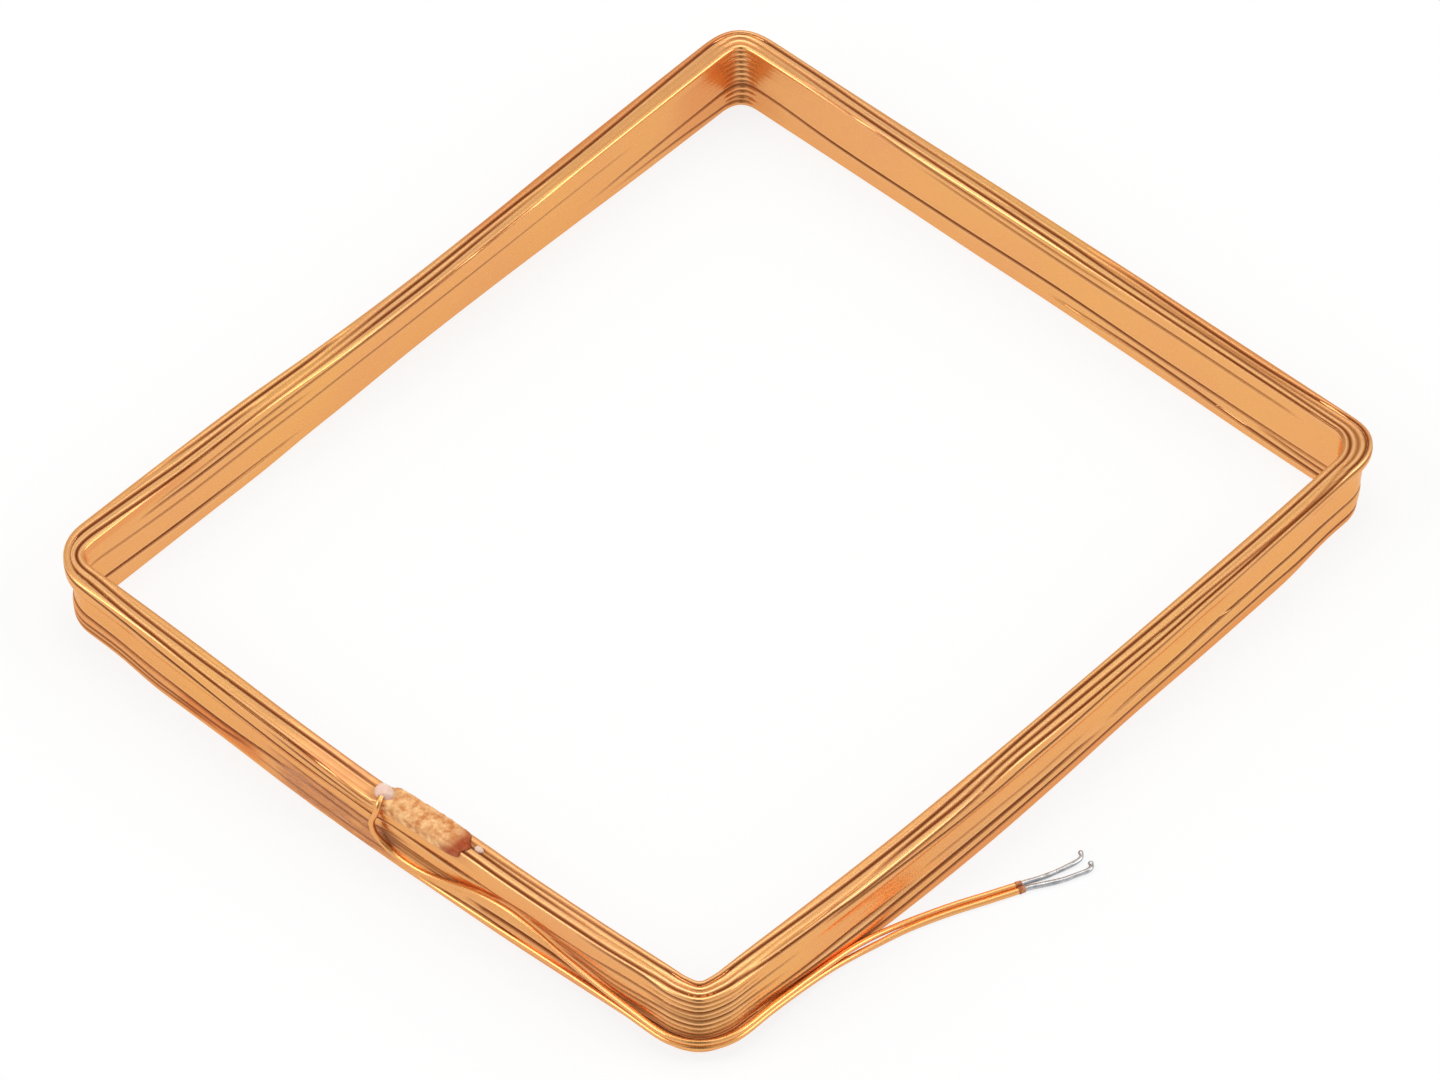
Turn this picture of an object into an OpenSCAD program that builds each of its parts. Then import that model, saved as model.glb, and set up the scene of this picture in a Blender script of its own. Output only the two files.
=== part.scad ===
// Air-core loop antenna coil wound from self-bonding enamelled copper wire.
// The origin is at the centre of the winding's footprint, on the surface it lies on.
// X runs along the long sides, and the leads leave round the corner at -X, -Y.

/* [Winding] */
// Length of the winding over its upper turns
coil_l = 70; // [56:1:100]
// Width of the winding over its upper turns
coil_w = 60; // [50:1:90]
// Turns stacked in each layer
rows = 12; // [9:1:12]
// Layers from the window to the outer face
layers = 4; // [4:1:6]
// Radius of the window's corners
corner_r = 2.2; // [1.5:0.1:4]
// Rows in the bunch along the top of the outer face
upper_rows = 4; // [3:1:5]
// Rows in the bunch along the foot of the outer face
lower_rows = 3; // [2:1:4]
// Depth of the middle rows behind the upper bunch
band_inset = 0.3; // [0:0.05:0.4]
// Depth of the lower bunch behind the upper bunch
foot_inset = 0.2; // [0.1:0.05:0.25]
// Length of the step in which each turn climbs to the next row
jog_l = 10; // [7:1:12]
// Distance from the front corner to the middle of those steps
jog_from_corner = 33; // [31:1:34]

/* [Wire] */
// Diameter over the enamel and the bonding coat
wire_d = 0.45; // [0.4:0.01:0.46]
// Space left between neighbouring turns
turn_gap = 0.01; // [0.01:0.005:0.03]
// Diameter of the tinned ends
tinned_d = 0.4; // [0.34:0.01:0.45]
// Length of the melted enamel where each lead is stripped
collar_l = 0.5; // [0.3:0.05:0.8]
// Diameter of the melted enamel
collar_d = 0.5; // [0.46:0.01:0.5]

/* [Adhesive] */
// Radius of the large bead that holds the start lead
bead_r = 0.7; // [0.6:0.05:0.8]
// Length of the varnish pad over the crossing wire
pad_l = 6; // [4:0.5:8]
// Width of that pad
pad_w = 1.6; // [1.3:0.1:1.7]
// Height of the pad's crown above the turns
pad_rise = 0.22; // [0.1:0.02:0.4]
// Radius of the small drop beside the pad
drop_r = 0.28; // [0.2:0.02:0.4]
// Length of the varnish smear on the lower turns
smear_l = 7.4; // [4:0.2:10]
// Height of that smear
smear_h = 0.8; // [0.5:0.05:0.85]
// Thickness of that smear
smear_t = 0.08; // [0.05:0.01:0.12]

/* [Hidden] */
copper = "#e4a05c";
deep_copper = "#b4692a";
amber = "#d98f52";
tin = "#c9cbcc";
round_sides = 32;
cord_sides = 8;
wire_r = wire_d / 2;
pitch = wire_d + turn_gap;
wall = layers * pitch - turn_gap;
coil_h = rows * pitch - turn_gap;
outer_r = corner_r + wall;
arc_x = coil_l / 2 - outer_r;
arc_y = coil_w / 2 - outer_r;
base_cut = wire_d / 10;
elbow_r = wire_r + 0.002;
crown_r = 0.8 * pad_w;
jog_start = jog_from_corner - jog_l / 2 - coil_w / 2;
jog_end = jog_start + jog_l;
lead_start = jog_end + 1.5;
bead_from_corner = jog_start + coil_w / 2 + bead_r;

// How deep each row of the outer layer lies behind the upper bunch, and the inner layer's depth
function inset(row) = row < lower_rows ? foot_inset : row < rows - upper_rows ? band_inset : 0;
outer_depths = [for (row = [0:rows - 1]) wire_r + inset(row)];
inner_depths = [for (row = [0:rows - 1]) wall - wire_r];

// Where a row sets out: the lowest one leaves room for a lead beside the first step
function row_start(row) = row == 0 ? lead_start : jog_end;

// A step up keeps the place of the shallower of the two rows that it joins
function step_depth(depths, row) =
    min(depths[max(row, 0)], depths[min(row + 1, rows - 1)]);

// Points along the middle of one row, from the step below it round to the step above it
function row_path(depths, row) =
    let (
        depth = depths[row],
        r = outer_r - depth,
        from = step_depth(depths, row - 1) - coil_l / 2,
        to = step_depth(depths, row) - coil_l / 2,
        side = coil_l / 2 - depth,
        end = coil_w / 2 - depth,
        z = wire_r + row * pitch,
        round = [0:15:90]
    )
    concat(
        [[from, row_start(row), z]],
        [for (a = round) [from + r - r * cos(a), end - r + r * sin(a), z]],
        [for (a = round) [side - r + r * sin(a), end - r + r * cos(a), z]],
        [for (a = round) [side - r + r * cos(a), r - end - r * sin(a), z]],
        [for (a = round) [to + r - r * sin(a), r - end - r * cos(a), z]],
        [[to, jog_start, z]],
        row < rows - 1 ? [[to, jog_end, z + pitch]] : []
    );

// Least distance from a point to a stretch, from a point to a path and between two paths
function to_stretch(p, a, b) =
    let (along = b - a, share = (p - a) * along / (along * along))
    norm(p - a - along * min(max(share, 0), 1));
function to_path(p, path) = min([for (i = [1:len(path) - 1]) to_stretch(p, path[i - 1], path[i])]);
function path_gap(one, other) = min([for (p = one) to_path(p, other)]);

// The last point of a row is the first of the next, so it is left out on both sides
function rows_apart(depths) = min([
    for (row = [0:rows - 2])
        let (
            low = row_path(depths, row),
            high = row_path(depths, row + 1),
            ends = len(high) - 1
        )
        path_gap([for (i = [0:len(low) - 2]) low[i]], [for (i = [1:ends]) high[i]])
]);
echo(least_gap_between_outer_turns = rows_apart(outer_depths) - wire_d);
echo(least_gap_between_inner_turns = rows_apart(inner_depths) - wire_d);
echo(least_spacing_of_turns_centre_to_centre = min(rows_apart(outer_depths), rows_apart(inner_depths)));

// The leads' routes are measured from the front corner of the upper turns
start_route = [
    [-0.2, 28.45, 5.62], [-0.58, 28.3, 5.44], [-0.77, 28.25, 5.1], [-0.85, 28.35, 4.6],
    [-0.86, 28.6, 3.95], [-0.8, 28.7, 3.25], [-0.65, 28.58, 2.45], [-0.47, 28.05, 1.75],
    [-0.34, 27.1, 1.25], [-0.3, 25.8, 1.15], [-0.25, 24.3, 1.3], [-0.2, 22.7, 1.75],
    [-0.2, 20.9, 2.45], [-0.2, 19, 3], [-0.2, 17.1, 3.25], [-0.17, 15.1, 3.05],
    [-0.13, 13.1, 2.6], [-0.08, 11.1, 2.25], [-0.08, 8.8, 1.97], [-0.08, 6.4, 1.8],
    [-0.1, 4.05, 1.7],
    [0.1, 2.75, 1.7], [0.65, 1.6, 1.7], [1.6, 0.65, 1.7], [2.75, 0.1, 1.7],
    [4.05, -0.1, 1.68], [6.2, -0.07, 1.55], [8.4, -0.06, 1.35], [10.4, -0.06, 1.15],
    [12.4, -0.1, 0.98], [14.2, -0.17, 0.8], [16.1, -0.37, 0.55], [18, -0.8, 0.35],
    [20, -1.45, 0.25], [22.1, -2.3, 0.25], [24.1, -3.23, 0.25], [26.1, -4.15, 0.25]
];
finish_root = [outer_depths[0], lead_start + coil_w / 2, wire_r];
finish_route = concat([finish_root, finish_root - [0, wire_d, 0]], [
    [0.36, 38, 0.23], [0.22, 37, 0.24], [0.08, 36, 0.24], [-0.02, 35, 0.25],
    [-0.05, 33.5, 0.25], [-0.05, 30, 0.25], [-0.05, 26.5, 0.25],
    [-0.05, 22.5, 0.4], [-0.05, 18.5, 0.6], [-0.05, 14.5, 0.85],
    [-0.05, 10.5, 1.05], [-0.08, 7, 1.2], [-0.1, 4.05, 1.2], [0.1, 2.75, 1.2],
    [0.65, 1.6, 1.2], [1.6, 0.65, 1.2], [2.75, 0.1, 1.2], [4.05, -0.1, 1.18],
    [6.4, -0.06, 1.05], [8.6, -0.06, 0.85], [10.6, -0.1, 0.65], [12.5, -0.2, 0.45],
    [14.3, -0.45, 0.3], [16.2, -0.87, 0.25], [18.1, -1.35, 0.25], [20, -2, 0.25],
    [21.9, -2.78, 0.25], [23.9, -3.7, 0.25], [25.9, -4.6, 0.25]
]);
start_tip_route = [
    [27.8, -4.95, 0.25], [28.6, -5.25, 0.25], [29.6, -5.55, 0.25],
    [30.5, -5.75, 0.25], [31, -5.7, 0.25], [31.3, -5.35, 0.25]
];
finish_tip_route = [
    [27.8, -5.65, 0.25], [28.7, -6.15, 0.25], [29.6, -6.5, 0.25],
    [30.4, -6.8, 0.25], [30.8, -6.75, 0.25], [31.05, -6.45, 0.25]
];

function unit(v) = v / norm(v);
function heading(path, i) = unit(path[min(i + 1, len(path) - 1)] - path[max(i - 1, 0)]);
function last(list) = list[len(list) - 1];

// Each ring's first spoke is the ring before's, turned square to the path again
function spokes(path, list = []) =
    len(list) == len(path) ? list :
    let (
        ahead = heading(path, len(list)),
        before = len(list) == 0 ? [ahead.y, 0.3 - ahead.x, 0.7] : last(list)
    )
    spokes(path, concat(list, [unit(before - ahead * (before * ahead))]));

// A point some way beyond the end of a lead, straight on
function beyond(route, way) = last(route) + way * heading(route, len(route) - 1);

// Each tip sets out square from the far end of the melted enamel
function tip_start(route) = [beyond(route, collar_l), beyond(route, collar_l + tinned_d)];

module at_front_corner() translate([-coil_l / 2, -coil_w / 2, 0]) children();

// A cord of one polyhedron, swept along its route
module cord(path, d) {
    spoke = spokes(path);
    rings = len(path);
    points = [
        for (i = [0:rings - 1], k = [0:cord_sides - 1])
            let (a = k * 360 / cord_sides, ahead = heading(path, i))
            path[i] + d / 2 * (cos(a) * spoke[i] + sin(a) * cross(ahead, spoke[i]))
    ];
    walls = [
        for (i = [0:rings - 2], k = [0:cord_sides - 1])
            let (
                here = i * cord_sides + k,
                beside = i * cord_sides + (k + 1) % cord_sides
            )
            each [
                [here, here + cord_sides, beside],
                [beside, here + cord_sides, beside + cord_sides]
            ]
    ];
    first = [for (k = [0:cord_sides - 1]) k];
    final = [for (k = [cord_sides - 1:-1:0]) (rings - 1) * cord_sides + k];
    polyhedron(points, concat([first], walls, [final]));
}

// Straight and curved lengths of the winding's wire
module straight(length)
    rotate([-90, 0, 0]) cylinder(r = wire_r, h = length, $fn = round_sides);

module quarter(radius)
    rotate_extrude(angle = 90, $fn = round_sides)
        translate([radius, 0]) circle(r = wire_r, $fn = round_sides);

module elbow() sphere(r = elbow_r, $fn = round_sides);

module step_up() {
    elbow();
    rotate([atan2(pitch, jog_l), 0, 0]) straight(norm([pitch, jog_l]));
    translate([0, jog_l, pitch]) elbow();
}

// One row: three sides and four corners that lie flat, and the side that the steps break
module turn(depths, row) {
    depth = depths[row];
    r = outer_r - depth;
    side_x = coil_l / 2 - depth;
    side_y = coil_w / 2 - depth;
    from_x = step_depth(depths, row - 1) - coil_l / 2;
    to_x = step_depth(depths, row) - coil_l / 2;
    translate([from_x, row_start(row), 0]) straight(side_y - r - row_start(row));
    translate([from_x + r, side_y - r, 0]) rotate([0, 0, 90]) quarter(r);
    translate([from_x + r, side_y, 0]) rotate([0, 0, -90]) straight(side_x - from_x - 2 * r);
    translate([side_x - r, side_y - r, 0]) quarter(r);
    translate([side_x, r - side_y, 0]) straight(2 * (side_y - r));
    translate([side_x - r, r - side_y, 0]) rotate([0, 0, 270]) quarter(r);
    translate([to_x + r, -side_y, 0]) rotate([0, 0, -90]) straight(side_x - to_x - 2 * r);
    translate([to_x + r, r - side_y, 0]) rotate([0, 0, 180]) quarter(r);
    translate([to_x, r - side_y, 0]) straight(jog_start - r + side_y);
    if (row < rows - 1)
        translate([to_x, jog_start, 0]) step_up();
}

// A whole layer is one unbroken wire from its lowest row to its highest
module layer(depths)
    for (row = [0:rows - 1])
        translate([0, 0, wire_r + row * pitch]) turn(depths, row);

// Section of the turns between the two layers, with x as the radius at a corner
module core_section() {
    inside = corner_r + pitch;
    outside = outer_r - pitch;
    foot_outside = outside - foot_inset;
    hidden_layers = layers - 2;
    intersection() {
        union() {
            for (rise = [[0, lower_rows, foot_inset],
                    [lower_rows, rows - upper_rows, band_inset],
                    [rows - upper_rows, rows, 0]])
                let (
                    low = max(rise[0] * pitch, wire_r - base_cut),
                    high = min(rise[1] * pitch, coil_h - wire_r)
                )
                translate([inside, low]) square([outside - rise[2] - inside, high - low]);
            for (k = [0:hidden_layers - 1])
                let (share = k / (hidden_layers - 1)) {
                    translate([inside + wire_r + share * (outside - inside - wire_d), coil_h - wire_r])
                        circle(r = wire_r, $fn = round_sides);
                    translate([inside + wire_r + share * (foot_outside - inside - wire_d), wire_r - base_cut])
                        circle(r = wire_r, $fn = round_sides);
                }
        }
        square([2 * outer_r, coil_h]);
    }
}

module core_side(length) rotate([90, 0, 0]) linear_extrude(length) core_section();

module core_corner() rotate_extrude(angle = 90, $fn = round_sides) core_section();

module winding_core() color(deep_copper)
    for (half = [0, 180])
        rotate([0, 0, half]) {
            translate([arc_x, arc_y, 0]) core_corner();
            translate([arc_x, arc_y, 0]) core_side(2 * arc_y);
            translate([-arc_x, arc_y, 0]) rotate([0, 0, 90]) core_corner();
            translate([-arc_x, arc_y, 0]) rotate([0, 0, 90]) core_side(2 * arc_x);
        }

module inner_layer() color(copper) layer(inner_depths);

module outer_layer() color(copper) layer(outer_depths);

module start_lead() color(copper) at_front_corner() cord(start_route, wire_d);

module finish_lead() color(copper) at_front_corner() cord(finish_route, wire_d);

module start_tip() color(tin) at_front_corner()
    cord(concat(tip_start(start_route), start_tip_route), tinned_d);

module finish_tip() color(tin) at_front_corner()
    cord(concat(tip_start(finish_route), finish_tip_route), tinned_d);

module enamel_collars() color(deep_copper) at_front_corner()
    for (route = [start_route, finish_route])
        let (ahead = heading(route, len(route) - 1))
        translate(last(route)) rotate([0, 90, atan2(ahead.y, ahead.x)])
            cylinder(d = collar_d, h = collar_l, $fn = round_sides);

// The room that the top turns of the side at -X take, with the outermost left out where
// it steps down
module side_turns(first_layer) {
    clear = wire_r + turn_gap;
    length = 3 * bead_r + pad_l + 4 * drop_r;
    translate([0, bead_from_corner + 2 * bead_r - length, 0]) {
        for (k = [first_layer:layers - 1])
            translate([wire_r + k * pitch, 0, coil_h - wire_r]) rotate([-90, 0, 0])
                cylinder(r = clear, h = length, $fn = round_sides);
        translate([first_layer * pitch - turn_gap, 0, 0])
            cube([wall - first_layer * pitch + 2 * turn_gap, length, coil_h - wire_r / 2]);
        if (first_layer > 0)
            cube([pitch, length, coil_h - pitch + pitch * bead_r * 2 / jog_l + 2 * turn_gap]);
    }
}

// The start lead sets out square from a flat on the bead
module lead_bead() color("#f2d9c4") at_front_corner()
    let (ahead = heading(start_route, 0), reach = 4 * bead_r)
    difference() {
        translate([0.3, bead_from_corner, coil_h + bead_r / 5]) sphere(r = bead_r, $fn = 48);
        translate(start_route[0]) rotate([0, acos(ahead.z), atan2(ahead.y, ahead.x)])
            translate([-reach / 2, -reach / 2, 0]) cube(reach);
        side_turns(1);
    }

// A low crowned pad over the place where the start wire crosses the turns
module varnish_pad() color(amber) at_front_corner()
    difference() {
        intersection() {
            translate([wall / 2, bead_from_corner - bead_r - pad_l, coil_h - wire_r])
                rotate([-90, 0, 0]) translate([0, crown_r - wire_r - pad_rise, 0])
                cylinder(r = crown_r, h = pad_l, $fn = 96);
            translate([(wall - pad_w) / 2, bead_from_corner - bead_r - pad_l, coil_h - wire_r])
                linear_extrude(wire_r + pad_rise)
                    hull() {
                        translate([pad_w / 3, pad_w / 3]) circle(r = pad_w / 3);
                        translate([pad_w * 0.55, pad_l - pad_w * 0.45]) circle(r = pad_w * 0.45);
                    }
        }
        side_turns(0);
    }

module varnish_drop() color("#f2d9c4") at_front_corner()
    difference() {
        translate([wall / 2, bead_from_corner - bead_r - pad_l - 2 * drop_r, coil_h])
            sphere(r = drop_r, $fn = round_sides);
        side_turns(0);
    }

module varnish_smear() color(amber) at_front_corner()
    translate([foot_inset - turn_gap, 32.4, wire_r * 2 + 0.05 + smear_h / 2])
        rotate([90, 0, -90]) linear_extrude(smear_t)
            intersection() {
                translate([-smear_l, -smear_h / 2]) square([smear_l, smear_h]);
                translate([-smear_l / 2, 0]) circle(r = smear_l / 2);
            }

winding_core();
inner_layer();
outer_layer();
start_lead();
finish_lead();
start_tip();
finish_tip();
enamel_collars();
lead_bead();
varnish_pad();
varnish_drop();
varnish_smear();
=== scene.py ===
import bmesh
import bpy
import math
from mathutils import Matrix, Vector, noise


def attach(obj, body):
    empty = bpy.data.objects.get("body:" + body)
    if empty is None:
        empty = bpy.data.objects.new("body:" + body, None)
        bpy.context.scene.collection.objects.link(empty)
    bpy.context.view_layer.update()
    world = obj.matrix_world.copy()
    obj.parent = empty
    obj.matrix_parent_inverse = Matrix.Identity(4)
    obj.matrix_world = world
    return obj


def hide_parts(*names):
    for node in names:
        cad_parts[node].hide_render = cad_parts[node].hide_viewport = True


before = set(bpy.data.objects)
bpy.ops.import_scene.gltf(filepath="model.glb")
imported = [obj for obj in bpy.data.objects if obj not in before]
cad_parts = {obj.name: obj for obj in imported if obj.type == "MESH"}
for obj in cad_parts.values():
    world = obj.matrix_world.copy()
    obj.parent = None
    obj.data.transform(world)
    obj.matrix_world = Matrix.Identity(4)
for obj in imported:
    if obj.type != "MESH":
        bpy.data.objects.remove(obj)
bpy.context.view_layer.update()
scene = bpy.context.scene
mm = 0.001
noise.seed_set(1)  # noise_vector starts from the clock without it
print("frame loaded:", len(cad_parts), "nodes")

camera = {  # solved from the coil's corners in the photo
    "place": (-0.429591, -0.369722, 0.617636),
    "right": (0.66856, -0.74339, 0.02002),
    "down": (-0.53827, -0.50231, -0.67672),
    "lens": 310.51,
    "sensor": 36,
}


def makeCamera(s):
    data = bpy.data.cameras.new("camera")
    data.sensor_fit = "HORIZONTAL"
    data.sensor_width = s["sensor"]
    data.lens = s["lens"]
    data.clip_start = 0.05
    data.clip_end = 20
    obj = bpy.data.objects.new("camera", data)
    right = Vector(s["right"]).normalized()
    back = right.cross(-Vector(s["down"])).normalized()
    turn = Matrix((right, back.cross(right), back)).transposed().to_4x4()
    obj.matrix_world = Matrix.Translation(s["place"]) @ turn
    scene.collection.objects.link(obj)
    scene.camera = obj


makeCamera(camera)
print("camera ready")


class Value:  # a shader socket, so that sums and products add their own nodes
    def __init__(self, finish, socket):
        self.finish = finish
        self.socket = socket

    def maths(self, operation, first, second):
        return self.finish.node("ShaderNodeMath", {"operation": operation}, {0: first, 1: second})

    def __add__(self, other):
        return self.maths("ADD", self, other)

    def __radd__(self, other):
        return self.maths("ADD", other, self)

    def __sub__(self, other):
        return self.maths("SUBTRACT", self, other)

    def __rsub__(self, other):
        return self.maths("SUBTRACT", other, self)

    def __mul__(self, other):
        return self.maths("MULTIPLY", self, other)

    def __rmul__(self, other):
        return self.maths("MULTIPLY", other, self)


class Finish:  # one material or world and its node tree
    def __init__(self, name, owner=None):
        self.owner = owner or bpy.data.materials.new(name)
        self.owner.use_nodes = True
        self.tree = self.owner.node_tree
        self.tree.nodes.clear()

    def node(self, kind, settings=None, inputs=None, out=0):
        made = self.tree.nodes.new(kind)
        for key, value in (settings or {}).items():
            setattr(made, key, value)
        for key, value in (inputs or {}).items():
            if isinstance(value, Value):
                self.tree.links.new(value.socket, made.inputs[key])
            else:
                made.inputs[key].default_value = value
        return Value(self, made.outputs[out]) if len(made.outputs) else None

    def place(self, scale=(1, 1, 1)):
        where = self.node("ShaderNodeTexCoord", out="Object")
        return self.node("ShaderNodeMapping", {}, {"Vector": where, "Scale": scale})

    def attribute(self, name):
        return self.node("ShaderNodeAttribute", {"attribute_name": name}, out="Fac")

    def ray(self, kind):
        return self.node("ShaderNodeLightPath", out=kind)

    def clouds(self, where, scale, detail=3, roughness=0.5):
        return self.node("ShaderNodeTexNoise", {}, {
            "Vector": where, "Scale": scale, "Detail": detail, "Roughness": roughness})

    def blend(self, share, first, second):
        return self.node("ShaderNodeMix", {"data_type": "RGBA"}, {
            0: share, 6: first, 7: second}, out=2)

    def bump(self, strength, distance, height):
        return self.node("ShaderNodeBump", {}, {
            "Strength": strength, "Distance": distance, "Height": height})

    def end(self, inputs):
        shader = self.node("ShaderNodeBsdfPrincipled", {}, inputs)
        self.node("ShaderNodeOutputMaterial", {}, {"Surface": shader})
        return self.owner


def tint(red, green, blue):  # a colour by its 0 to 255 values
    return tuple((c / 255 / 12.92 if c / 255 <= 0.04045 else ((c / 255 + 0.055) / 1.055) ** 2.4)
        for c in (red, green, blue)) + (1,)


copperFinish = {
    "base": tint(239, 174, 105),
    "pink": tint(233, 158, 111),
    "gold": tint(244, 180, 99),
    # painted highlight: a lighter copper on the shoulders beside the grooves, standing in for the light they
    # catch
    "paintedHighlight": tint(253, 206, 148),
    # painted shade: dark brown laid into the grooves and the hollows between turns, standing in for the shade
    # there
    "groove": tint(128, 54, 4),
    # a deeper orange: at the back corner a painted glow of light bounced between the inner walls, elsewhere a
    # warmer tone
    "warmToneAndPaintedGlow": tint(222, 112, 48),
    "varnish": tint(204, 134, 98),
    "reflection": (1.0, 0.7, 0.4, 1),
    "metallic": 0.85,
    "roughness": 0.26,
    "coat": 0.2,
    "slowClouds": 90,
    "fineClouds": 900,
    "specks": 5200,
}


def makeCopper(name, s, withCoatMarksAndPaintedLight=False):
    f = Finish(name)
    where = f.place()
    slow = f.clouds(where, s["slowClouds"], 2)
    fine = f.clouds(where, s["fineClouds"], 4, 0.6)
    specks = f.clouds(where, s["specks"], 2, 0.5)
    colour = f.blend(slow * 1.6 - 0.3, s["pink"], s["gold"])
    colour = f.blend(fine * 0.5 + 0.25, colour, s["base"])
    rough = fine * 0.12 + (s["roughness"] - 0.06)
    sheen, metal = s["coat"], s["metallic"]
    if withCoatMarksAndPaintedLight:
        warmToneAndPaintedGlow, varnish, paintedShade, paintedHighlight = (f.attribute(tone) for tone in ("warmToneAndPaintedGlow", "varnish", "paintedShade", "paintedHighlight"))
        # painted highlight on the groove shoulders, held back where painted shade lies
        colour = f.blend(paintedHighlight * (0.75 - paintedShade), colour, s["paintedHighlight"])
        # warmer tone, with a painted glow of bounced light at the back corner
        colour = f.blend(warmToneAndPaintedGlow * 0.7, colour, s["warmToneAndPaintedGlow"])
        colour = f.blend(varnish * (fine * 2.2 - 0.4), colour, s["varnish"])
        # painted shade darkens the grooves and hollows; the same mask also roughens them and takes off coat
        # and metal
        colour = f.blend(paintedShade * 0.96, colour, s["groove"])
        rough = rough + varnish * 0.3 + paintedShade * 0.45
        sheen = (1 - paintedShade) * s["coat"]
        metal = (1 - paintedShade * 0.85) * s["metallic"]
    return f.end({
        "Base Color": colour, "Metallic": metal, "Roughness": rough, "Specular Tint": s["reflection"],
        "Coat Weight": sheen, "Coat Roughness": 0.05, "Normal": f.bump(0.18, 0.00003, specks + fine)})


tinFinish = {
    "bright": tint(216, 217, 219), "dull": tint(150, 150, 152), "roughness": 0.3,
    "lumps": 1500, "patches": 2600,
}


def makeTin(name, s):
    f = Finish(name)
    where = f.place()
    lumps = f.clouds(where, s["lumps"], 3)
    patches = f.clouds(where, s["patches"], 2)
    return f.end({
        "Base Color": f.blend(patches * 1.4 - 0.2, s["dull"], s["bright"]), "Metallic": 1.0,
        "Roughness": patches * 0.2 + (s["roughness"] - 0.1), "Normal": f.bump(0.5, 0.00008, lumps)})


resinFinishes = {
    "milkyGlue": {
        "pale": tint(246, 214, 198), "deep": tint(238, 194, 174), "roughness": 0.3, "gloss": 0.5,
        "transmission": 0.1, "subsurface": 0.5, "grain": 900, "stretch": 1, "cover": 1, "relief": 0.1,
    },
    "amberVarnish": {
        "pale": tint(252, 200, 142), "deep": tint(206, 130, 70), "roughness": 0.42, "gloss": 0.15,
        "transmission": 0.0, "subsurface": 0.1, "grain": 2000, "stretch": 1, "cover": 1.6, "relief": 1.0,
    },
    "brownSmear": {
        "pale": tint(240, 176, 134), "deep": tint(196, 128, 94), "roughness": 0.5, "gloss": 0.1,
        "transmission": 0.0, "subsurface": 0.1, "grain": 2400, "stretch": 0.12, "cover": 0.28, "relief": 0.7,
    },
    "meltedEnamel": {
        "pale": tint(214, 140, 96), "deep": tint(150, 84, 50), "roughness": 0.4, "gloss": 0.3,
        "transmission": 0.0, "subsurface": 0.0, "grain": 3000, "stretch": 1, "cover": 1, "relief": 0.6,
    },
}
burntTint = tint(168, 70, 30)


def makeResin(name, s):
    f = Finish(name)
    where = f.place((1, s["stretch"], 1))
    swirls = f.clouds(where, s["grain"], 4, 0.6)
    patches = f.clouds(where, s["grain"] * 0.5, 3, 0.6)
    burnt = f.attribute("burnt")
    colour = f.blend(swirls * 3.4 - 1.2, s["deep"], s["pale"])
    colour = f.blend(burnt * (swirls * 0.8 + 0.5), colour, burntTint)
    cover = 1.0
    if s["cover"] != 1:  # thin places let the turns show, and the edge is soft
        spread = swirls * 2.4 + (s["cover"] - 1.2) + burnt
        cover = f.node("ShaderNodeClamp", {}, {"Value": spread}) * f.attribute("inside")
    return f.end({
        "Base Color": colour, "Roughness": patches * 0.25 + (s["roughness"] - 0.12), "Alpha": cover,
        "Transmission Weight": s["transmission"], "IOR": 1.5, "Specular IOR Level": s["gloss"],
        "Subsurface Weight": s["subsurface"], "Subsurface Radius": (0.001, 0.0006, 0.0003),
        "Subsurface Scale": 0.5, "Normal": f.bump(s["relief"], 0.0001, swirls)})


copper = makeCopper("enamelledCopper", copperFinish)
bonded = makeCopper("bondedCopper", copperFinish, withCoatMarksAndPaintedLight=True)
tin = makeTin("tinnedCopper", tinFinish)
resins = {name: makeResin(name, s) for name, s in resinFinishes.items()}
print("materials ready")

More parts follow.
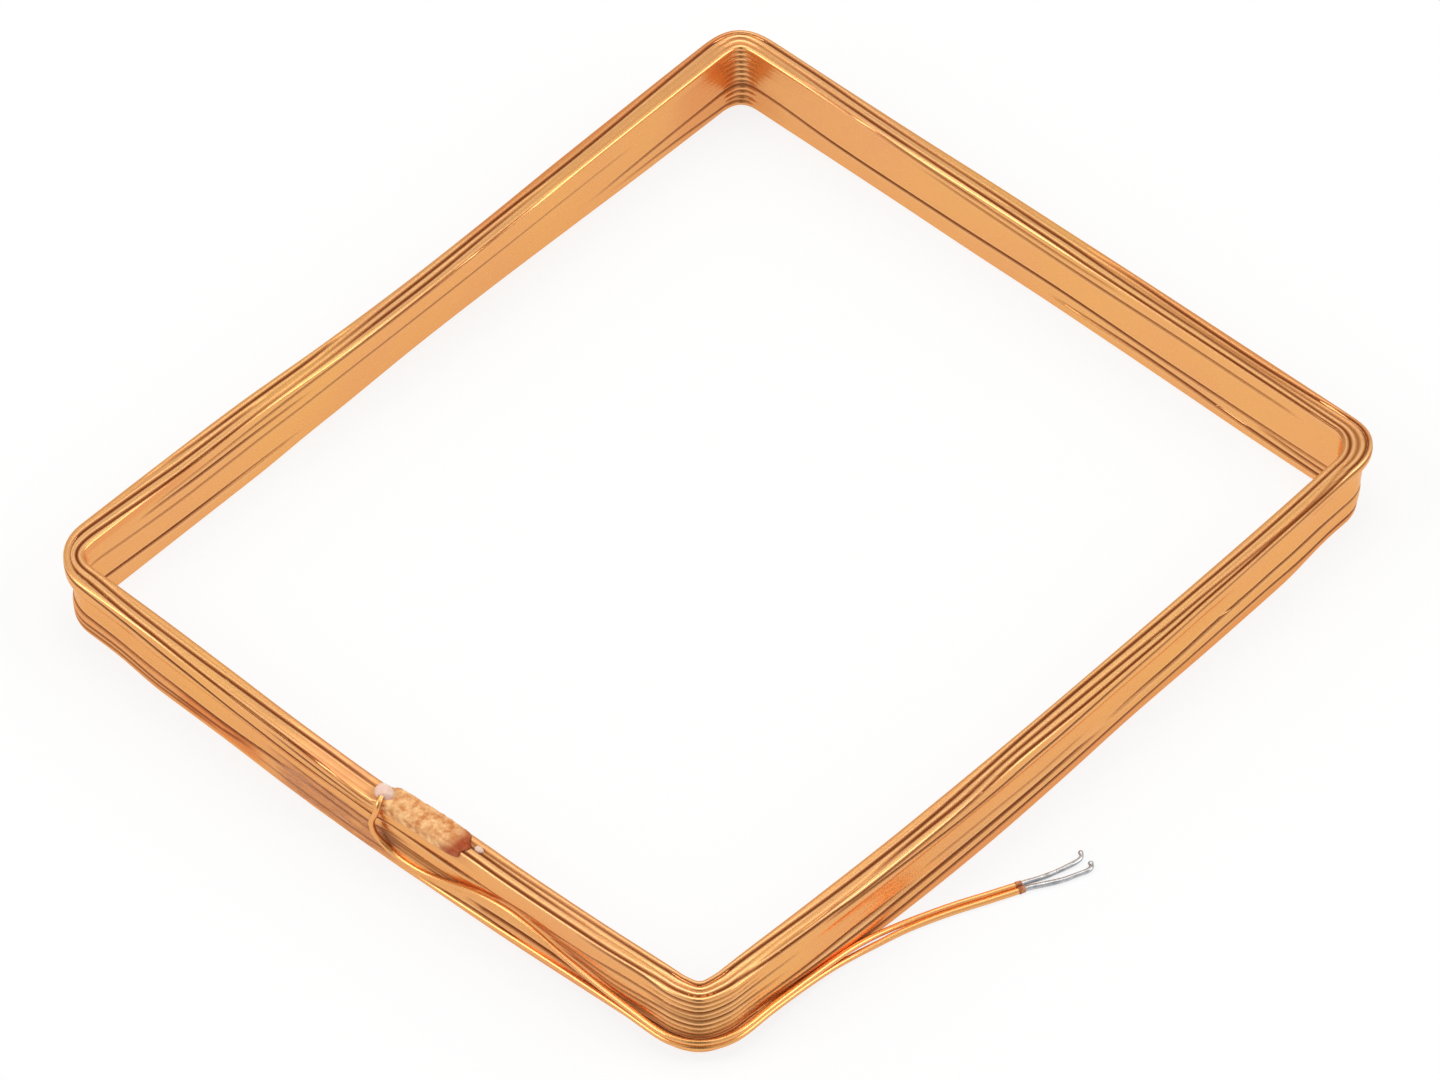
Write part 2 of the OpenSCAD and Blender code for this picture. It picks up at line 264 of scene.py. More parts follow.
leads = {
    "diameter": 0.45,
    "tipDiameter": 0.4,
    "start": [
        (0.08, 28.5, 5.68), (-0.2, 28.45, 5.62), (-0.58, 28.3, 5.44), (-0.77, 28.25, 5.1),
        (-0.85, 28.35, 4.6),
        (-0.86, 28.6, 3.95), (-0.8, 28.7, 3.25), (-0.65, 28.58, 2.45), (-0.47, 28.05, 1.75),
        (-0.34, 27.1, 1.25), (-0.3, 25.8, 1.15), (-0.25, 24.3, 1.3), (-0.2, 22.7, 1.75),
        (-0.2, 20.9, 2.45), (-0.2, 19, 3), (-0.2, 17.1, 3.25), (-0.17, 15.1, 3.05),
        (-0.13, 13.1, 2.6), (-0.08, 11.1, 2.25), (-0.08, 8.8, 1.97), (-0.08, 6.4, 1.8),
        (-0.1, 4.05, 1.7),
        (0.1, 2.75, 1.7), (0.65, 1.6, 1.7), (1.6, 0.65, 1.7), (2.75, 0.1, 1.7),
        (4.05, -0.1, 1.68), (6.2, -0.07, 1.55), (8.4, -0.06, 1.35), (10.4, -0.06, 1.15),
        (12.4, -0.1, 0.98), (14.2, -0.17, 0.8), (16.1, -0.37, 0.55), (18, -0.8, 0.35),
        (20, -1.45, 0.25), (22.1, -2.3, 0.25), (24.1, -3.23, 0.25), (26.1, -4.15, 0.25),
    ],
    "finish": [
        (0.425, 39.5, 0.225), (0.425, 39.05, 0.225), (0.36, 38, 0.23), (0.22, 37, 0.24),
        (0.08, 36, 0.24), (-0.02, 35, 0.25), (-0.05, 33.5, 0.25), (-0.05, 30, 0.25),
        (-0.05, 26.5, 0.25), (-0.05, 22.5, 0.4), (-0.05, 18.5, 0.6), (-0.05, 14.5, 0.85),
        (-0.05, 10.5, 1.05), (-0.08, 7, 1.2), (-0.1, 4.05, 1.2), (0.1, 2.75, 1.2),
        (0.65, 1.6, 1.2), (1.6, 0.65, 1.2), (2.75, 0.1, 1.2), (4.05, -0.1, 1.18),
        (6.4, -0.06, 1.05), (8.6, -0.06, 0.85), (10.6, -0.1, 0.65), (12.5, -0.2, 0.45),
        (14.3, -0.45, 0.3), (16.2, -0.87, 0.25), (18.1, -1.35, 0.25), (20, -2, 0.25),
        (21.9, -2.78, 0.25), (23.9, -3.7, 0.25), (25.9, -4.6, 0.25),
    ],
    "startTip": [
        (27.8, -4.95, 0.25), (28.6, -5.25, 0.25), (29.6, -5.55, 0.25),
        (30.5, -5.75, 0.25), (31, -5.7, 0.25), (31.3, -5.35, 0.25),
    ],
    "finishTip": [
        (27.8, -5.65, 0.25), (28.7, -6.15, 0.25), (29.6, -6.5, 0.25),
        (30.4, -6.8, 0.25), (30.8, -6.75, 0.25), (31.05, -6.45, 0.25),
    ],
    "collar": 0.5,  # its length, and how far a tip is hidden in it
    "hidden": 0.1,
    "collarFrom": 0.25,
    "collarTo": 0.235,
    "rim": 0.08,
    "ragged": 0.03,
    "leadSteps": 4,
    "tipSteps": 6,
    "solder": {"grain": 900, "lumps": 0.12, "taper": 0.22, "bead": 0.22, "beadAt": 0.96, "beadWidth": 0.035},
}


def fade(low, high, x):  # 0 up to low, 1 from high
    t = min(1, max(0, (x - low) / (high - low)))
    return t * t * (3 - 2 * t)


def reach(x, low, high, outside, inside):  # 1 between low and high, softened this far outside and inside them
    return fade(low - outside, low + inside, x) * (1 - fade(high - inside, high + outside, x))


def mixed(first, second, share):
    return first * (1 - share) + second * share


def bell(x, width):
    return math.exp(-(x / width) ** 2)


def fromCorner(points):  # routes are measured from the front corner, in millimetres
    return [Vector((x - 35, y - 30, z)) * mm for x, y, z in points]


def around(values, i):  # a value with the one before it and the two after it
    return [values[max(0, min(len(values) - 1, i + k))] for k in (-1, 0, 1, 2)]


def curveAt(a, b, c, d, t):  # a smooth curve from b to c, which a and d only steer
    return 0.5 * (2 * b + (c - a) * t + (2 * a - 5 * b + 4 * c - d) * t * t
        + (3 * b - a - 3 * c + d) * t ** 3)


def smoothPath(points, steps):
    path = []
    for i in range(len(points) - 1):
        path += [curveAt(*around(points, i), n / steps) for n in range(steps)]
    return path + [points[-1]]


def pathLength(path):
    return sum((b - a).length for a, b in zip(path, path[1:]))


def wireCurve(name, path, radius, material, radii=None, sides=3):
    data = bpy.data.curves.new(name, "CURVE")
    data.dimensions = "3D"
    data.bevel_depth = radius
    data.bevel_resolution = sides
    data.use_fill_caps = True
    data.twist_mode = "MINIMUM"
    spline = data.splines.new("POLY")
    spline.points.add(len(path) - 1)
    for i, p in enumerate(path):
        spline.points[i].co = (*p, 1)
        spline.points[i].radius = radii[i] if radii else 1
    spline.use_smooth = True
    data.materials.append(material)
    obj = bpy.data.objects.new(name, data)
    scene.collection.objects.link(obj)
    return obj


def finishMesh(bm, name, material, smooth=True):
    bmesh.ops.recalc_face_normals(bm, faces=bm.faces)
    mesh = bpy.data.meshes.new(name)
    bm.to_mesh(mesh)
    bm.free()
    for face in mesh.polygons:
        face.use_smooth = smooth
    mesh.materials.append(material)
    obj = bpy.data.objects.new(name, mesh)
    scene.collection.objects.link(obj)
    return obj


def fitPiece(piece, node):  # the coil is one body, so every piece rides on it
    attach(piece, "root")
    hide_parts(node)
    return piece


def makeLead(name, node, route):
    path = smoothPath(fromCorner(route), leads["leadSteps"])
    lead = wireCurve(name, path, leads["diameter"] / 2 * mm, copper)
    return fitPiece(lead, node), path


def makeTip(name, node, route, leadPath):
    s = leads["solder"]
    ahead = (leadPath[-1] - leadPath[-2]).normalized()
    start = leadPath[-1] + ahead * (leads["collar"] - leads["hidden"]) * mm
    points = [start, start + ahead * leads["tipDiameter"] * mm] + fromCorner(route)
    path = smoothPath(points, leads["tipSteps"])
    radii = []
    for i, p in enumerate(path):
        share = i / (len(path) - 1)
        lump = noise.noise(p * s["grain"]) * s["lumps"] * min(1, share * 4)
        radii.append(1 - s["taper"] * share + lump + s["bead"] * bell(share - s["beadAt"], s["beadWidth"]))
    return fitPiece(wireCurve(name, path, leads["tipDiameter"] / 2 * mm, tin, radii), node)


def makeCollars():  # ragged rings of melted enamel where the leads are stripped
    bm = bmesh.new()
    for path in (startPath, finishPath):
        ahead = (path[-1] - path[-2]).normalized()
        turn = ahead.to_track_quat("Z", "Y").to_matrix().to_4x4()
        middle = path[-1] + ahead * leads["collar"] * 0.5 * mm
        made = bmesh.ops.create_cone(bm, cap_ends=True, segments=24,
            radius1=leads["collarFrom"] * mm, radius2=leads["collarTo"] * mm, depth=leads["collar"] * mm,
            matrix=Matrix.Translation(middle) @ turn)
        rim = [e for e in bm.edges if all(v in made["verts"] for v in e.verts) and
            abs(sum((v.co - middle).dot(ahead) for v in e.verts)) > leads["collar"] * 0.9 * mm]
        bmesh.ops.bevel(bm, geom=rim, offset=leads["rim"] * mm, segments=3, profile=0.5,
            affect="EDGES", material=-1)
    bmesh.ops.subdivide_edges(bm, edges=bm.edges[:], cuts=1, use_grid_fill=True)
    for v in bm.verts:
        v.co += noise.noise_vector(v.co * 2600) * leads["ragged"] * mm
    return fitPiece(finishMesh(bm, "enamel_collar_pair", resins["meltedEnamel"]),
        "enamel_collars")


startLead, startPath = makeLead("start_lead_wire", "start_lead", leads["start"])
finishLead, finishPath = makeLead("finish_lead_wire", "finish_lead", leads["finish"])
startTip = makeTip("start_tip_wire", "start_tip", leads["startTip"], startPath)
finishTip = makeTip("finish_tip_wire", "finish_tip", leads["finishTip"], finishPath)
collars = makeCollars()

pathLength(startPath)
pathLength(finishPath)
print("leads ready:", round(pathLength(startPath) / mm, 1), round(pathLength(finishPath) / mm, 1), "mm")

winding = {  # in mm, and the steps that each wire takes along the sides, round the corners and up a row
    "long": 70, "wide": 60, "rows": 12, "layers": 4, "wire": 0.45, "pitch": 0.46, "innerCorner": 2.2,
    "jogFrom": -2, "jogTo": 8, "firstFrom": 9.5,
    "sideSteps": 34, "halfSideSteps": 14, "cornerSteps": 12, "climbSteps": 10,
    "wobble": {"sideways": 0.03, "up": 0.012, "grain": 0.06},
}
sideNames = ("frontLeft", "backLeft", "backRight", "frontRight")
# How far each side stands out from straight, in mm, at even steps from corner to corner:
# front left from the front corner, then on round by the left, back and right corners
leans = {
    "frontLeft": {
        "foot": (-0.42, -0.18, 0.08, 0.20, 0.26, 0.14, -0.12, -0.30, -0.55),
        "top": (-0.34, -0.08, 0.08, 0.15, 0.50, 0.62, 0.38, 0.13, 0.00),
    },
    "backLeft": {
        "foot": (-0.38, -0.35, -0.34, -0.24, -0.02, -0.01, -0.14, -0.30, -0.36),
        "top": (-0.01, -0.01, -0.10, -0.48, -0.66, -0.60, -0.40, -0.27, -0.18),
    },
    "backRight": {
        "foot": (-0.04, -0.03, -0.05, -0.12, -0.12, -0.20, -0.30, -0.42, -0.45),
        "top": (-0.16, -0.17, -0.14, -0.05, -0.03, -0.01, -0.01, -0.01, -0.01),
    },
    "frontRight": {
        "foot": (-0.60, -0.36, -0.16, -0.03, 0.25, 0.38, 0.25, -0.10, -0.45),
        "top": (-0.40, -0.20, -0.05, 0.05, 0.12, 0.10, 0.03, -0.20, -0.50),
    },
}
# How squarely the corner after each side bends, at the foot and the top of the outer and the inner face,
# and how far the outer and the inner face are tucked in there
bends = {
    "frontLeft": {"outer": (2.0, 2.0), "inner": (3.0, 3.6), "tuck": (0, 0)},
    "backLeft": {"outer": (2.4, 2.9), "inner": (3.2, 5.0), "tuck": (0, 0.02)},
    "backRight": {"outer": (2.0, 2.6), "inner": (2.0, 1.9), "tuck": (0, 0)},
    "frontRight": {"outer": (3.4, 4.4), "inner": (5.5, 6.0), "tuck": (0.115, 0.085)},
}
# Swells: from and to along the side, lowest and highest row, and how far they stand out
swells = {
    "outer": {
        "frontLeft": [(0.1, 1.1, 3, 7.5, -0.22), (0.9, 1.1, -1, 8, -0.25)],
        "backLeft": [(-0.1, 1.1, 4, 8.5, -0.2), (-0.1, 0.06, -1, 8, -0.25)],
        "backRight": [(-0.1, 1.1, 4, 8.5, -0.2), (0.94, 1.1, -1, 9, -0.3)],
        "frontRight": [(-0.1, 0.3, 5, 12, -0.1), (0.2, 0.88, 4, 8, -0.22), (-0.1, 0.08, -1, 9, -0.3)],
    },
    "inner": {
        "backLeft": [(-0.1, 0.3, -1, 1.5, -0.12)],
        "backRight": [(-0.1, 1.1, -1, 1.5, -0.14)],
    },
}
lastRow = winding["rows"] - 1
lastLayer = winding["layers"] - 1
rise = lastRow * winding["pitch"]
depthRange = lastLayer * winding["pitch"]
outerCorner = winding["innerCorner"] + depthRange + winding["wire"]
arcX = winding["long"] / 2 - outerCorner
arcY = winding["wide"] / 2 - outerCorner


def nextSide(side):
    return sideNames[(sideNames.index(side) + 1) % 4]


def along(values, u):  # smooth curve through even steps
    last = len(values) - 1
    x = min(last - 1e-6, max(0, u * last))
    return curveAt(*around(values, int(x)), x - int(x))


def swell(face, side, u, row):
    return sum(amount * reach(u, low, high, 0.04, 0.06) * reach(row, bottom, top, 0.7, 0.3)
        for low, high, bottom, top, amount in swells[face].get(side, ()))


def atRow(row, turnAt):  # between two rows, a turn climbs from one to the other
    low = min(lastRow, int(row))
    return turnAt(low).lerp(turnAt(min(lastRow, low + 1)), row - low)


def shapeAt(layer, row, side, u):  # outward offset and height of a turn's middle, in mm
    share = layer / lastLayer

    def turnAt(r):
        height = winding["wire"] / 2 + r * winding["pitch"]
        h = height / (rise + winding["wire"])
        lean = mixed(along(leans[side]["foot"], u), along(leans[side]["top"], u), h)
        out = lean + swell("outer", side, u, r) * (1 - share) + swell("inner", side, u, r) * share
        return Vector((out - winding["wire"] / 2 - layer * winding["pitch"], height))

    return atRow(row, turnAt)


def wobble(layer, row, x, y):  # small unevenness, in mm, which differs from turn to turn
    s = winding["wobble"]

    def turnAt(r):
        p = Vector((x * s["grain"] + r * 7.3, y * s["grain"] - layer * 5.1, r * 3.7))
        up = noise.noise(p + Vector((50, 20, 10))) * s["up"] if 0 < r < lastRow else 0
        return Vector((noise.noise(p) * s["sideways"], up))

    return atRow(row, turnAt)


def cornerAt(layer, row, side, angle, beyond):  # across and forward of the side's end, and how high
    a, b = shapeAt(layer, row, side, 1), shapeAt(layer, row, nextSide(side), 0)
    z = a.lerp(b, fade(0, 1, angle)).y
    bend = bends[side]
    h, share = row / lastRow, layer / lastLayer
    power = mixed(mixed(*bend["outer"], h), mixed(*bend["inner"], h), share)
    c, s = math.cos(angle * math.pi / 2), math.sin(angle * math.pi / 2)
    size = ((c / (outerCorner + a.x + beyond)) ** power
        + (s / (outerCorner + b.x + beyond)) ** power) ** (-1 / power)
    size *= 1 - mixed(*bend["tuck"], share) * (2 * c * s) ** 2
    return size * c, size * s, z


# A turn's middle in mm. Along a side u runs from 0 to 1 and angle is None. Round the corner after the side
# u is 1 and angle runs from 0 to 1.
def turnPoint(layer, row, side, u, angle, beyond=0, up=0):
    if angle is None:
        out, z = shapeAt(layer, row, side, u)
        across, forward = outerCorner + out + beyond, 0
    else:
        across, forward, z = cornerAt(layer, row, side, angle, beyond)
    if side in ("frontLeft", "backRight"):
        x, y = -arcX - across, -arcY + 2 * arcY * u + forward
    else:
        x, y = -arcX + 2 * arcX * u + forward, arcY + across
    if side in ("backRight", "frontRight"):
        x, y = -x, -y
    sideways, rises = wobble(layer, row, x, y)
    middle = Vector((x, y, 0))
    if layer in (0, lastLayer) or row > lastRow - 1:
        middle += middle.normalized() * sideways
    return Vector((middle.x, middle.y, z + rises + up))


# The bonding coat's relief, in mm. Its skin stands a little off the turns' middles and draws in at the foot.
# A groove has round shoulders, a narrow core, painted shade along it and painted highlights beside it. The
# hollows between single turns are shallow under a thick coat and deep under a thin one, where they also get
# painted shade and painted highlights.
relief = {
    "skin": 0.229, "foot": 0.2, "footDraw": 13, "step": 0.05,
    "groove": {"reach": 0.4, "shoulder": 0.21, "depth": 0.15, "core": 0.08, "coreWidth": 0.075,
        "paintedShadeWidth": 0.135, "paintedHighlightAt": 0.21, "paintedHighlightWidth": 0.06},
    "hollow": {"thickCoat": 0.045, "thinCoat": 0.8, "paintedShade": 0.36, "paintedShadeWidth": 0.07,
        "paintedHighlight": 0.5, "paintedHighlightAt": 0.22, "paintedHighlightWidth": 0.07},
    "paintedShadeGain": 1.3,
}
wallTop = winding["wire"] / 2 + rise
bendLength = relief["skin"] * math.pi / 2
topFrom = wallTop + bendLength
topTo = topFrom + depthRange
innerFrom = topTo + bendLength
sectionEnd = innerFrom + wallTop

# Grooves that run along the winding, each as a row of (how far along the side, where round the section, how
# deep). Round the section runs in mm up the outer face to 5.3, over the top from 5.6 to 7.0 and down the
# inner face from 7.4.
grooves = {
    "frontLeft": [
        ((0, 6.82, 0.9), (0.03, 6.74, 0.8), (0.16, 6.75, 0.6), (0.29, 6.69, 0.6), (0.4, 6.62, 0.5),
            (0.49, 6.6, 0.5), (0.57, 6.62, 0.8), (0.7, 6.49, 1), (0.8, 6.39, 0.9), (0.88, 6.38, 0.8),
            (0.95, 6.5, 0.8), (1, 6.7, 0.9)),
        ((0, 5.83, 0.8), (0.09, 5.66, 0.9), (0.15, 5.66, 1), (0.28, 5.67, 1), (0.34, 5.7, 1),
            (0.45, 5.4, 0.7), (0.5, 5.15, 0.8), (0.56, 5.44, 0.9), (0.62, 5.5, 1), (0.74, 5.52, 0.9),
            (0.81, 5.58, 0.9), (0.87, 5.68, 1), (0.93, 5.79, 1), (1, 6.08, 1)),
        ((0.13, 6.29, 0.3), (0.2, 6.28, 0.7), (0.24, 6.3, 0.8), (0.33, 6.35, 0.9)),
        ((0.22, 3.91, 0.6), (0.28, 3.66, 1), (0.34, 3.32, 1.2), (0.39, 3.35, 1.3), (0.48, 3.68, 1.3),
            (0.6, 3.98, 1.3), (0.69, 4.16, 1.3), (0.73, 4.18, 1.3), (0.8, 4.41, 1.3), (0.86, 4.59, 1.3),
            (0.92, 4.88, 1.2), (1, 5.2, 1)),
        ((0.5, 4.6, 0.5), (0.54, 4.68, 0.9), (0.6, 4.8, 0.9), (0.65, 4.92, 0.3)),
        ((0.44, 2.6, 0.3), (0.5, 2.55, 0.7), (0.58, 2.62, 0.6), (0.65, 2.75, 0.2)),
        ((0.47, 1.95, 0.4), (0.53, 1.88, 0.7), (0.6, 1.92, 0.6), (0.66, 1.86, 0.4)),
        ((0.42, 0.95, 0.4), (0.5, 0.9, 0.6), (0.6, 0.92, 0.5), (0.68, 1.0, 0.3)),
        ((0.66, 1.82, 0.7), (0.71, 1.64, 1), (0.76, 1.55, 0.9), (0.87, 1.66, 0.7), (0.94, 1.55, 0.7),
            (1, 1.62, 0.8)),
        ((0.71, 1.3, 0.4), (0.76, 1.0, 0.9), (0.9, 1.02, 0.9), (1, 0.98, 0.8)),
        ((0.78, 0.63, 0.4), (0.83, 0.6, 0.7), (0.9, 0.54, 0.7), (1, 0.45, 0.7)),
        ((0, 5.15, 0.7), (0.03, 5.32, 0.8), (0.07, 5.26, 0.7), (0.12, 5.24, 0.3)),
        ((0, 4.07, 0.6), (0.05, 4.03, 0.6), (0.12, 3.76, 0.6), (0.19, 3.35, 0.6)),
        ((0, 3.4, 0.6), (0.04, 3.12, 0.6), (0.1, 2.94, 0.6), (0.16, 2.92, 0.6)),
        ((0, 2.8, 0.6), (0.05, 2.57, 0.6), (0.1, 2.46, 0.5), (0.15, 2.46, 0.4)),
        ((0, 1.9, 0.5), (0.08, 1.76, 0.5), (0.14, 1.74, 0.4)),
        ((0, 1.42, 0.7), (0.08, 1.3, 0.7), (0.15, 1.4, 0.9), (0.2, 1.5, 1), (0.25, 1.52, 1),
            (0.3, 1.43, 0.9)),
        ((0.35, 2.1, 0.5), (0.4, 2.14, 0.6), (0.47, 2.32, 0.5)),
        ((0.35, 1.85, 0.5), (0.41, 1.9, 0.6), (0.47, 2.06, 0.5)),
        ((0.36, 1.58, 0.4), (0.41, 1.6, 0.5), (0.48, 1.76, 0.4)),
        ((0, 0.9, 0.5), (0.12, 0.9, 0.7), (0.2, 0.83, 0.9), (0.28, 0.96, 1), (0.32, 0.9, 1),
            (0.37, 0.64, 0.7)),
        ((0, 8.4, 0.5), (0.3, 8.5, 0.4), (1, 8.4, 0.4)),
        ((0, 11.2, 0.7), (0.4, 11.4, 0.7), (1, 11.1, 0.8)),
    ],
    "backLeft": [
        ((0.13, 5.79, 0.4), (0.18, 5.95, 0.7), (0.24, 6.0, 0.9), (0.3, 5.98, 1), (0.34, 5.94, 1),
            (0.38, 5.82, 0.6)),
        ((0, 6.08, 1), (0.04, 6.18, 1), (0.08, 6.29, 0.9), (0.14, 6.46, 0.9), (0.2, 6.47, 0.8),
            (0.25, 6.43, 0.5)),
        ((0, 6.7, 1), (0.04, 6.86, 1), (0.08, 7.02, 1), (0.14, 7.16, 1), (0.2, 7.14, 0.9),
            (0.24, 7.06, 0.7), (0.3, 6.92, 0.4), (0.39, 6.72, 0.6), (0.45, 6.63, 1), (0.53, 6.58, 1),
            (0.61, 6.47, 0.8), (0.71, 6.45, 0.3)),
        ((0.36, 6.3, 0.3), (0.41, 6.19, 0.6), (0.47, 6.07, 0.9), (0.6, 6.01, 1), (0.67, 6.03, 1),
            (0.74, 6.14, 1), (0.82, 6.12, 1), (0.9, 6.0, 0.9), (1, 5.87, 0.9)),
        ((0.1, 8.06, 0.2), (0.18, 8.03, 0.3), (0.26, 7.86, 0.5), (0.33, 7.61, 0.5), (0.41, 7.4, 0.6),
            (0.5, 7.28, 0.7), (0.63, 7.17, 0.7), (0.72, 7.19, 0.3)),
        ((0.08, 8.45, 0.4), (0.15, 8.58, 0.9), (0.2, 8.59, 0.9), (0.26, 8.57, 0.6), (0.31, 8.5, 0.3)),
        ((0, 9.05, 0.3), (0.09, 9.42, 0.4), (0.15, 9.54, 0.4), (0.31, 9.38, 0.4), (0.39, 9.19, 0.4),
            (0.56, 9.1, 0.5), (0.7, 9.08, 0.3), (0.83, 9.02, 0.2)),
        ((0, 11.1, 1), (0.05, 11.26, 1), (0.11, 11.43, 1), (0.17, 11.5, 0.8), (0.23, 11.52, 0.5),
            (0.29, 11.55, 0.3)),
        ((0.8, 11.29, 0.2), (0.84, 11.1, 0.5), (0.9, 10.89, 0.6), (0.95, 10.78, 0.6), (1, 10.7, 0.6)),
        ((0.84, 11.9, 0.2), (0.92, 11.86, 0.5), (1, 12.1, 0.5)),
        ((0, 5.2, 0.9), (0.2, 4.7, 0.8), (0.6, 4.3, 0.9), (1, 4.4, 0.8)),
        ((0, 1.62, 0.8), (0.3, 1.9, 0.7), (0.7, 1.7, 0.8), (1, 1.9, 0.8)),
        ((0, 0.98, 0.8), (0.4, 1.1, 0.5), (0.7, 1.0, 0.2)),
    ],
    "backRight": [
        ((0, 5.87, 0.9), (0.08, 5.88, 0.9), (0.16, 6.01, 0.8), (0.23, 6.09, 0.7), (0.32, 6.17, 0.6),
            (0.42, 6.26, 0.8), (0.51, 6.32, 0.8), (0.57, 6.42, 0.8), (0.64, 6.52, 0.8), (0.78, 6.6, 0.7),
            (0.9, 6.66, 0.7), (1, 6.75, 0.8)),
        ((0.58, 5.88, 0.3), (0.64, 5.89, 0.7), (0.7, 5.97, 0.9), (0.77, 6.03, 1), (0.84, 6.06, 1),
            (0.93, 5.97, 1), (1, 5.8, 1)),
        ((0, 6.4, 0.3), (0.06, 6.47, 0.5), (0.11, 6.57, 0.7), (0.16, 6.64, 0.9), (0.23, 6.73, 1),
            (0.37, 6.85, 1), (0.51, 6.94, 1), (0.57, 7.03, 0.9), (0.73, 7.1, 0.9), (1, 7.16, 0.9)),
        ((0.09, 7.04, 0.3), (0.16, 7.16, 0.5), (0.23, 7.3, 0.5), (0.3, 7.46, 0.6), (0.37, 7.55, 0.7),
            (0.51, 7.66, 0.6), (0.62, 7.62, 0.2)),
        ((0.3, 7.98, 0.2), (0.37, 8.12, 0.4), (0.46, 8.22, 0.5), (0.59, 8.28, 0.7), (0.73, 8.2, 0.6),
            (0.86, 8.22, 0.5), (0.92, 8.22, 0.3)),
        ((0, 10.68, 0.6), (0.04, 10.73, 0.7), (0.09, 10.95, 0.8), (0.13, 11.06, 1), (0.2, 11.12, 1),
            (0.34, 11.07, 1), (0.49, 10.94, 1), (0.57, 10.93, 1), (0.7, 11.02, 0.9), (0.84, 10.98, 0.7),
            (1, 10.93, 0.5)),
        ((0.54, 11.8, 0.3), (0.61, 11.73, 0.6), (0.68, 11.68, 0.8), (0.75, 11.73, 0.8),
            (0.84, 11.84, 0.8), (1, 11.93, 0.8)),
        ((0.9, 11.3, 0.4), (0.95, 11.42, 0.7), (1, 11.45, 0.7)),
        ((0.4, 6.6, 0.2), (0.6, 6.2, 0.3), (0.8, 6.35, 0.4), (1, 6.3, 0.6)),
        ((0, 4.4, 0.8), (0.3, 4.1, 0.9), (0.7, 4.3, 0.8), (1, 5.3, 0.6)),
        ((0, 1.9, 0.8), (0.4, 1.5, 0.9), (0.8, 1.8, 0.8), (1, 2.1, 0.7)),
        ((0.5, 0.9, 0.3), (0.8, 0.8, 0.8), (1, 0.66, 1)),
    ],
    "frontRight": [
        ((0, 6.75, 0.8), (0.06, 6.64, 0.9), (0.16, 6.61, 0.9), (0.28, 6.7, 0.9), (0.44, 6.81, 1),
            (0.5, 6.8, 1), (0.55, 6.75, 1), (0.61, 6.62, 1), (0.67, 6.49, 1), (0.72, 6.45, 1),
            (0.78, 6.47, 1), (0.84, 6.52, 0.9), (0.9, 6.64, 0.9), (1, 6.82, 0.9)),
        ((0, 6.3, 0.6), (0.04, 5.92, 0.5), (0.1, 5.78, 0.5), (0.18, 5.87, 0.6), (0.28, 6.02, 0.8),
            (0.4, 6.18, 0.9), (0.5, 6.25, 0.9), (0.57, 6.22, 0.8), (0.61, 6.1, 0.8), (0.65, 5.96, 1),
            (0.71, 5.98, 1), (0.76, 5.97, 0.6), (0.8, 5.8, 0.3), (0.88, 5.78, 0.5), (0.94, 5.9, 0.3)),
        ((0, 5.8, 1), (0.04, 5.6, 1), (0.12, 5.58, 0.9), (0.2, 5.53, 0.9), (0.37, 5.57, 1),
            (0.45, 5.58, 1), (0.51, 5.66, 1), (0.56, 5.71, 1), (0.59, 5.63, 1), (0.62, 5.48, 0.8),
            (0.66, 5.33, 0.7), (0.72, 5.26, 0.7), (0.82, 5.21, 0.9), (0.86, 5.35, 0.9),
            (0.92, 5.45, 0.9), (0.96, 5.55, 0.9), (1, 5.83, 0.8)),
        ((0, 5.3, 0.6), (0.1, 5.19, 0.6), (0.14, 5.15, 0.6), (0.23, 5.0, 0.6), (0.32, 4.98, 0.6),
            (0.38, 4.92, 0.7), (0.44, 4.83, 0.9), (0.5, 4.72, 1), (0.55, 4.7, 1), (0.59, 4.57, 0.9),
            (0.65, 4.54, 0.8), (0.7, 4.65, 0.9), (0.77, 4.82, 0.9), (0.85, 4.96, 0.6)),
        ((0.75, 2.07, 0.4), (0.8, 2.09, 0.8), (0.86, 2.09, 0.9), (0.91, 2.16, 0.9), (0.98, 2.28, 0.7)),
        ((0.47, 2.43, 0.3), (0.53, 2.34, 0.3), (0.6, 2.46, 0.3), (0.7, 2.54, 0.3)),
        ((0.44, 1.64, 0.3), (0.47, 1.7, 0.7), (0.54, 1.69, 1), (0.6, 1.7, 1), (0.68, 1.7, 1),
            (0.75, 1.65, 1), (0.81, 1.55, 0.9), (0.87, 1.56, 0.9), (0.92, 1.66, 0.8)),
        ((0, 0.66, 1), (0.06, 0.72, 1), (0.12, 1.08, 1), (0.19, 1.13, 1), (0.25, 1.1, 0.9),
            (0.31, 1.03, 0.9), (0.41, 0.93, 0.9), (0.55, 0.95, 1), (0.67, 0.88, 0.9), (0.78, 0.71, 0.9),
            (0.87, 0.72, 0.8), (1, 1.0, 0.7)),
        ((0, 2.1, 0.7), (0.03, 2.1, 0.8), (0.07, 2.28, 0.9), (0.12, 2.47, 0.9), (0.18, 2.41, 0.9),
            (0.24, 2.15, 0.9), (0.3, 2.0, 0.9), (0.36, 1.97, 0.6), (0.4, 1.91, 0.3)),
        ((0.95, 3.1, 0.3), (1, 3.3, 0.7)),
        ((0.93, 4.1, 0.3), (1, 4.2, 0.7)),
        ((0, 8.3, 0.4), (0.5, 8.6, 0.5), (1, 8.4, 0.5)),
        ((0, 11.5, 0.7), (0.5, 11.3, 0.7), (1, 11.2, 0.7)),
    ],
}
groovesFound = {}


